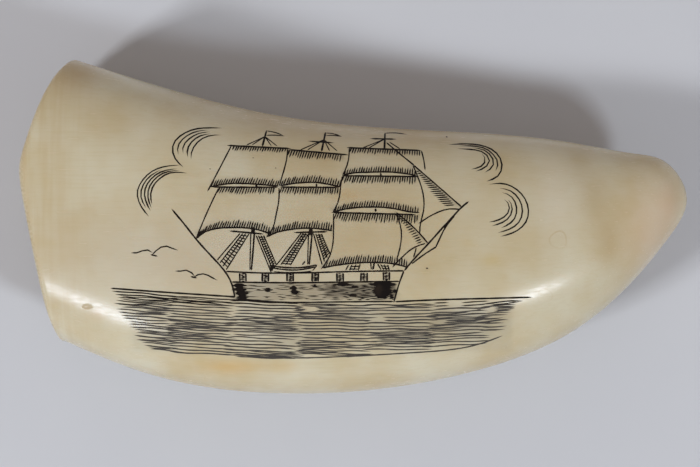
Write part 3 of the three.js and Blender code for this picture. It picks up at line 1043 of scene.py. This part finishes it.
def stainAndSheenAt(x, y, onTop):
    # soft ovals of colour, mostly age stain and one partly painted sheen near the root, then soot, then
    # the old marks, one tint laid over the other
    colour = np.zeros((len(x), 4))
    colour[:, :3] = linear("cfb07a")    # the stains' edges fade through this
    for middleX, middleY, length, width, tint, strength in stainsAndSheen:
        out = ((x - middleX) / length) ** 2 + ((y - middleY) / width) ** 2
        layTint(colour, tint, strength * np.exp(-out) * np.where(onTop, 1, 0.5))
    # soot caught between the short strokes at each sail's head and foot and along each jib's luff
    for sail in sails:
        fromHead, fromFoot = sail["fringes"]
        for path, length in ((sail["head"], -fromHead), (sail["foot"], fromFoot)):
            cover = soot["besideSails"] * sootBeside(path, length, x, y) * onTop
            layTint(colour, soot["colour"], cover)
    for jib in jibs:
        luff = [(level, place) for place, level in reversed(jib["luff"])]
        length = -soot["jibReach"] * jib["shade"][2]
        layTint(colour, soot["colour"], soot["besideJibs"] * sootBeside(luff, length, y, x) * onTop)
    portWidth, portHeight = hull["portSize"]
    portWashes = tuple(
        (port - portWidth / 2, port + portWidth / 2, hull["portTop"] - portHeight, hull["portTop"] + 0.1,
         soot["portEdge"], soot["portColour"], soot["ports"])
        for port in hull["ports"])
    for left, right, bottom, top, soft, tint, strength in washes + portWashes:
        inside = np.min([x - left, right - x, y - bottom, top - y], axis=0)
        layTint(colour, tint, strength * np.clip(inside / soft, 0, 1) * onTop)
    for middleX, middleY, radius, strength in marks["rings"]:
        turn = np.arctan2(y - middleY, x - middleX)
        out = np.hypot(x - middleX, y - middleY) / radius / (1 + 0.07 * np.sin(3 * turn + middleX))
        band = np.exp(-((out - 1) / waterMark["breadth"]) ** 2)
        layTint(colour, waterMark["colour"], strength * (0.6 + 0.4 * np.sin(turn)) * band * onTop)
    middleX, middleY, length, width, _ = marks["chip"]
    out = np.hypot((x - middleX) / length, (y - middleY) / width)
    layTint(colour, chipWear["colour"], chipWear["strength"] * np.clip(1.25 - out, 0, 1) * onTop)
    return colour


# Materials

def addNode(tree, kind, settings=None, **links):
    # a node with its settings, and its inputs linked from sockets or set to values
    node = tree.nodes.new(kind)
    for name, value in (settings or {}).items():
        setattr(node, name, value)
    for name, value in links.items():
        key = int(name[1:]) if name[0] == "i" and name[1:].isdigit() else name.replace("_", " ")
        if isinstance(value, bpy.types.NodeSocket):
            tree.links.new(value, node.inputs[key])
        else:
            node.inputs[key].default_value = value
    return node


def newMaterial(name):
    # an empty material and its node tree
    material = bpy.data.materials.new(name)
    material.use_nodes = True
    material.node_tree.nodes.clear()
    return material, material.node_tree


def mixColour(tree, share, under, over):
    # share 0 gives the colour under and 1 the colour over, each a hex value or a socket
    node = addNode(tree, "ShaderNodeMix", {"data_type": "RGBA"}, i0=share)
    for socket, value in ((node.inputs[6], under), (node.inputs[7], over)):
        if isinstance(value, bpy.types.NodeSocket):
            tree.links.new(value, socket)
        else:
            socket.default_value = (*linear(value), 1)
    return node.outputs[2]


ivoryFinish = {
    "pale": "cfc6a9",
    "warm": "c2b087",
    "grain": "b09868",
    "roughness": 0.21,
    "cloudSize": 17,        # mm
    "grainSize": (14, 0.55),    # mm along and across
    "grainTurn": -4,        # degrees
    "band": "b79b6c",
    "bandSize": (1.3, 22),      # mm along and across the tooth
    "bandEnds": (-66, -50),     # mm, where the bands are strongest and where they have faded out
    "bandStrength": 0.34,
    "dentine": "b4986a",
    "dentineDark": "86683f",
    "bareRoughness": 0.75,
    "pitSize": 1.6,         # mm
    "rippleSize": 3.5,      # mm
    "glow": 0.12,           # share of the light that spreads under the surface
    "glowSpread": (1.0, 0.55, 0.3),     # red goes furthest
    "glowDepth": 2.5,       # mm
}


def polishedIvory():
    # dense dentine rubbed to a soft gloss: a warm cream with faint lengthwise grain, growth
    # bands near the root, and a little light that spreads under the surface
    material, tree = newMaterial("polished_whale_ivory")
    place = addNode(tree, "ShaderNodeTexCoord").outputs["Object"]
    cloudScale = 1 / (ivoryFinish["cloudSize"] * mm)
    cloud = addNode(tree, "ShaderNodeTexNoise", Vector=place, Scale=cloudScale, Detail=3.0,
                    Roughness=0.55)
    cloudShare = addNode(tree, "ShaderNodeMapRange", i0=cloud.outputs["Fac"], i1=0.35, i2=0.68)
    colour = mixColour(tree, cloudShare.outputs[0], ivoryFinish["pale"], ivoryFinish["warm"])
    long, fine = (1 / (size * mm) for size in ivoryFinish["grainSize"])
    stretched = addNode(tree, "ShaderNodeMapping", Vector=place)
    stretched.inputs["Rotation"].default_value = (0, 0, math.radians(ivoryFinish["grainTurn"]))
    stretched.inputs["Scale"].default_value = (long, fine, fine)
    grain = addNode(tree, "ShaderNodeTexNoise", Vector=stretched.outputs[0], Scale=1.0, Detail=4.0,
                    Roughness=0.6)
    grainShare = addNode(tree, "ShaderNodeMapRange", i0=grain.outputs["Fac"], i1=0.48, i2=0.74, i4=0.2)
    colour = mixColour(tree, grainShare.outputs[0], colour, ivoryFinish["grain"])
    # growth bands lie across the tooth and fade out away from the root
    axes = addNode(tree, "ShaderNodeSeparateXYZ", i0=place)
    strongest, faded = (end * mm for end in ivoryFinish["bandEnds"])
    nearRoot = addNode(tree, "ShaderNodeMapRange", i0=axes.outputs[0], i1=strongest, i2=faded,
                       i3=ivoryFinish["bandStrength"], i4=0.0)
    bandPlace = addNode(tree, "ShaderNodeMapping", Vector=place)
    bandAlong, bandAcross = (1 / (size * mm) for size in ivoryFinish["bandSize"])
    bandPlace.inputs["Scale"].default_value = (bandAlong, bandAcross, bandAcross)
    bands = addNode(tree, "ShaderNodeTexNoise", Vector=bandPlace.outputs[0], Scale=1.0, Detail=2.0)
    bandShare = addNode(tree, "ShaderNodeMapRange", i0=bands.outputs["Fac"], i1=0.42, i2=0.65)
    bandCover = addNode(tree, "ShaderNodeMath", {"operation": "MULTIPLY"}, i0=bandShare.outputs[0],
                        i1=nearRoot.outputs[0])
    colour = mixColour(tree, bandCover.outputs[0], colour, ivoryFinish["band"])
    # the stains, soot and marks laid on the points, with a patch of painted sheen near the root
    stain_and_sheen = addNode(tree, "ShaderNodeAttribute", {"attribute_name": "stain_and_sheen"})
    colour = mixColour(tree, stain_and_sheen.outputs["Alpha"], colour, stain_and_sheen.outputs["Color"])
    # the lip is worn brown and the cavity is bare, pitted dentine
    zone = addNode(tree, "ShaderNodeAttribute", {"attribute_name": "zone"}).outputs["Fac"]
    pitScale = 1 / (ivoryFinish["pitSize"] * mm)
    pits = addNode(tree, "ShaderNodeTexNoise", Vector=place, Scale=pitScale, Detail=5.0, Roughness=0.65)
    bare = mixColour(tree, pits.outputs["Fac"], ivoryFinish["dentine"], ivoryFinish["dentineDark"])
    inside = addNode(tree, "ShaderNodeMapRange", i0=zone, i1=0.45, i2=0.95)
    colour = mixColour(tree, inside.outputs[0], colour, bare)
    roughness = addNode(tree, "ShaderNodeMapRange", i0=grain.outputs["Fac"], i1=0.3, i2=0.7,
                        i3=ivoryFinish["roughness"] - 0.04, i4=ivoryFinish["roughness"] + 0.08)
    rough = addNode(tree, "ShaderNodeMix", {"data_type": "FLOAT"}, i0=inside.outputs[0],
                    i2=roughness.outputs[0], i3=ivoryFinish["bareRoughness"])
    scratches = addNode(tree, "ShaderNodeBump", Height=grain.outputs["Fac"], Strength=0.04,
                        Distance=0.08 * mm)
    rippleScale = 1 / (ivoryFinish["rippleSize"] * mm)
    ripples = addNode(tree, "ShaderNodeTexNoise", Vector=place, Scale=rippleScale, Detail=3.0)
    unevenness = addNode(tree, "ShaderNodeBump", Height=ripples.outputs["Fac"], Strength=0.07,
                         Distance=0.3 * mm, Normal=scratches.outputs[0])
    pitting = addNode(tree, "ShaderNodeMath", {"operation": "MULTIPLY"}, i0=pits.outputs["Fac"],
                      i1=inside.outputs[0])
    relief = addNode(tree, "ShaderNodeBump", Height=pitting.outputs[0], Strength=0.7, Distance=0.5 * mm,
                     Normal=unevenness.outputs[0])
    shader = addNode(tree, "ShaderNodeBsdfPrincipled", Base_Color=colour, Roughness=rough.outputs[0],
                     IOR=1.54, Normal=relief.outputs[0])
    shader.inputs["Subsurface Weight"].default_value = ivoryFinish["glow"]
    shader.inputs["Subsurface Radius"].default_value = ivoryFinish["glowSpread"]
    shader.inputs["Subsurface Scale"].default_value = ivoryFinish["glowDepth"] * mm
    addNode(tree, "ShaderNodeOutputMaterial", Surface=shader.outputs[0])
    return material


inkFinish = {
    "black": "120c08",
    "brown": "30261b",
    "worn": "5f5a52",
    "patchSize": 3,         # mm
    "roughness": 0.6,
    "seaWear": 0.46,        # how worn the sea's lines are, from 0 to 1
    "seaTop": -15.6,        # mm, below which the wear sets in
    "wearEdge": 0.8,        # mm
}


def lampblackInk():
    # soot in oil rubbed into the cuts: nearly black, browner where it is thin, and matt
    material, tree = newMaterial("lampblack_ink")
    place = addNode(tree, "ShaderNodeTexCoord").outputs["Object"]
    patchScale = 1 / (inkFinish["patchSize"] * mm)
    patchy = addNode(tree, "ShaderNodeTexNoise", Vector=place, Scale=patchScale, Detail=3.0)
    share = addNode(tree, "ShaderNodeMapRange", i0=patchy.outputs["Fac"], i1=0.45, i2=0.75, i4=0.8)
    colour = mixColour(tree, share.outputs[0], inkFinish["black"], inkFinish["brown"])
    worn = addNode(tree, "ShaderNodeAttribute", {"attribute_name": "wear"}).outputs["Fac"]
    colour = mixColour(tree, worn, colour, inkFinish["worn"])
    # the low index keeps the soot dull, as if its light were caught between the grains
    shader = addNode(tree, "ShaderNodeBsdfPrincipled", Base_Color=colour, IOR=1.25,
                     Roughness=inkFinish["roughness"])
    addNode(tree, "ShaderNodeOutputMaterial", Surface=shader.outputs[0])
    return material


paperFinish = {
    "tints": ("c6c6c7", "cacaca"),
    "roughness": 0.7,
    "fibreSize": 30,        # mm
}


def paleFloor():
    # matt paper, slightly cool, with only a trace of unevenness
    material, tree = newMaterial("pale_paper")
    place = addNode(tree, "ShaderNodeTexCoord").outputs["Object"]
    fibreScale = 1 / (paperFinish["fibreSize"] * mm)
    fibre = addNode(tree, "ShaderNodeTexNoise", Vector=place, Scale=fibreScale, Detail=4.0)
    colour = mixColour(tree, fibre.outputs["Fac"], *paperFinish["tints"])
    shader = addNode(tree, "ShaderNodeBsdfPrincipled", Base_Color=colour,
                     Roughness=paperFinish["roughness"])
    addNode(tree, "ShaderNodeOutputMaterial", Surface=shader.outputs[0])
    return material


# Floor, lights and camera

studio = {
    "aim": (-0.47, -1.48, 20.0),    # mm, what the camera looks straight down on
    "cameraHeight": 600.0,
    "viewWidth": 146.8,     # mm across the picture at the aim
    "floorHalf": 1500.0,
    "lights": (
        # degrees round from the front towards the tip, degrees up, distance and size in mm, watts
        # the soft boxes and the back fill give the shading and the shadows, and the two lamps only
        # what the gloss mirrors
        {"name": "left_softbox", "around": -63, "up": 41, "away": 1500, "size": (240, 220), "power": 12.9,
         "colour": "f1f6ff", "mirrored": False},
        {"name": "right_softbox", "around": 50, "up": 43, "away": 1500, "size": (240, 160), "power": 9.6,
         "colour": "e6f1ff", "mirrored": False},
        {"name": "back_fill", "around": 178, "up": 26, "away": 1500, "size": (1100, 600), "power": 1.9,
         "colour": "fff6ee", "mirrored": False},
        {"name": "left_lamp", "around": -32, "up": 34, "away": 1500, "size": (330, 260), "power": 4.4,
         "colour": "e4eeff", "mirrored": True},
        {"name": "right_lamp", "around": 41, "up": 45, "away": 1500, "size": (190, 120), "power": 3.1,
         "colour": "eef5ff", "mirrored": True},
    ),
    "skyColour": "fff7fa",
    "skyStrength": 0.333,
}


def buildStudio():
    half = studio["floorHalf"] * mm
    corners = [(-half, -half, 0), (half, -half, 0), (half, half, 0), (-half, half, 0)]
    mesh = bpy.data.meshes.new("floor")
    mesh.from_pydata(corners, [], [(0, 1, 2, 3)])
    floor = bpy.data.objects.new("floor", mesh)
    bpy.context.scene.collection.objects.link(floor)
    mesh.materials.append(paleFloor())

    aim = Vector(studio["aim"]) * mm
    for lamp in studio["lights"]:
        light = bpy.data.lights.new(lamp["name"], "AREA")
        light.shape = "RECTANGLE"
        light.size, light.size_y = (side * mm for side in lamp["size"])
        light.energy = lamp["power"]
        light.color = linear(lamp["colour"])
        box = bpy.data.objects.new(lamp["name"], light)
        box.visible_glossy = lamp["mirrored"]
        box.visible_diffuse = not lamp["mirrored"]
        around, up = math.radians(lamp["around"]), math.radians(lamp["up"])
        way = Vector((math.sin(around) * math.cos(up), -math.cos(around) * math.cos(up), math.sin(up)))
        box.location = aim + way * lamp["away"] * mm
        box.rotation_euler = way.to_track_quat("Z", "Y").to_euler()
        bpy.context.scene.collection.objects.link(box)

    world = bpy.data.worlds.new("studio_sky")
    world.use_nodes = True
    background = world.node_tree.nodes["Background"]
    background.inputs["Color"].default_value = (*linear(studio["skyColour"]), 1)
    background.inputs["Strength"].default_value = studio["skyStrength"]
    bpy.context.scene.world = world
    bpy.context.scene.view_settings.view_transform = "Standard"

    camera = bpy.data.cameras.new("camera")
    camera.sensor_width = 36
    camera.lens = camera.sensor_width * studio["cameraHeight"] / studio["viewWidth"]
    camera.clip_start = 0.05
    viewer = bpy.data.objects.new("camera", camera)
    viewer.location = aim + Vector((0, 0, studio["cameraHeight"] * mm))
    bpy.context.scene.collection.objects.link(viewer)
    bpy.context.scene.camera = viewer
    print("studio: floor, lights and camera")


engravePicture()
toothSurface, inkLines = buildTooth()
toothSurface.data.materials.append(polishedIvory())
inkLines.data.materials.append(lampblackInk())
for piece, slot in ((toothSurface, "ivory"), (inkLines, "ink")):
    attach(piece, "root")
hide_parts("whale_tooth")
buildStudio()
